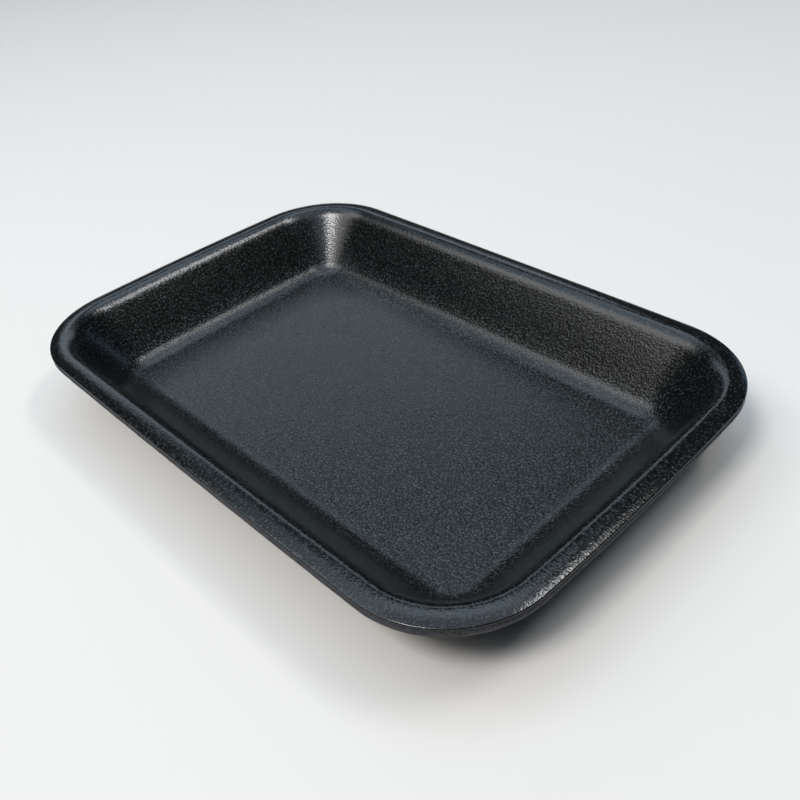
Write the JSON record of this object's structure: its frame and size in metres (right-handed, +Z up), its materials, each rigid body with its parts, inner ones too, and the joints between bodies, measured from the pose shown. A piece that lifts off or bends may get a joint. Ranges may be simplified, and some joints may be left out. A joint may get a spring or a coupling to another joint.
{
  "type": "foam meat tray",
  "caption": "Shallow rectangular foam tray with conical rounded corners, sloping walls, a flat floor and a rolled, trimmed flange.",
  "frame": {"origin": "centre of the footprint, on the surface that the tray stands on", "axes": "+Z up out of the open tray, +X along the long side, +Y across it"},
  "size_m": [0.2096, 0.1446, 0.0252],
  "materials": {
    "foam_skin": "satin"
  },
  "bodies": {
    "root": {"foam_tray": "foam_skin"}
  },
  "joints": []
}
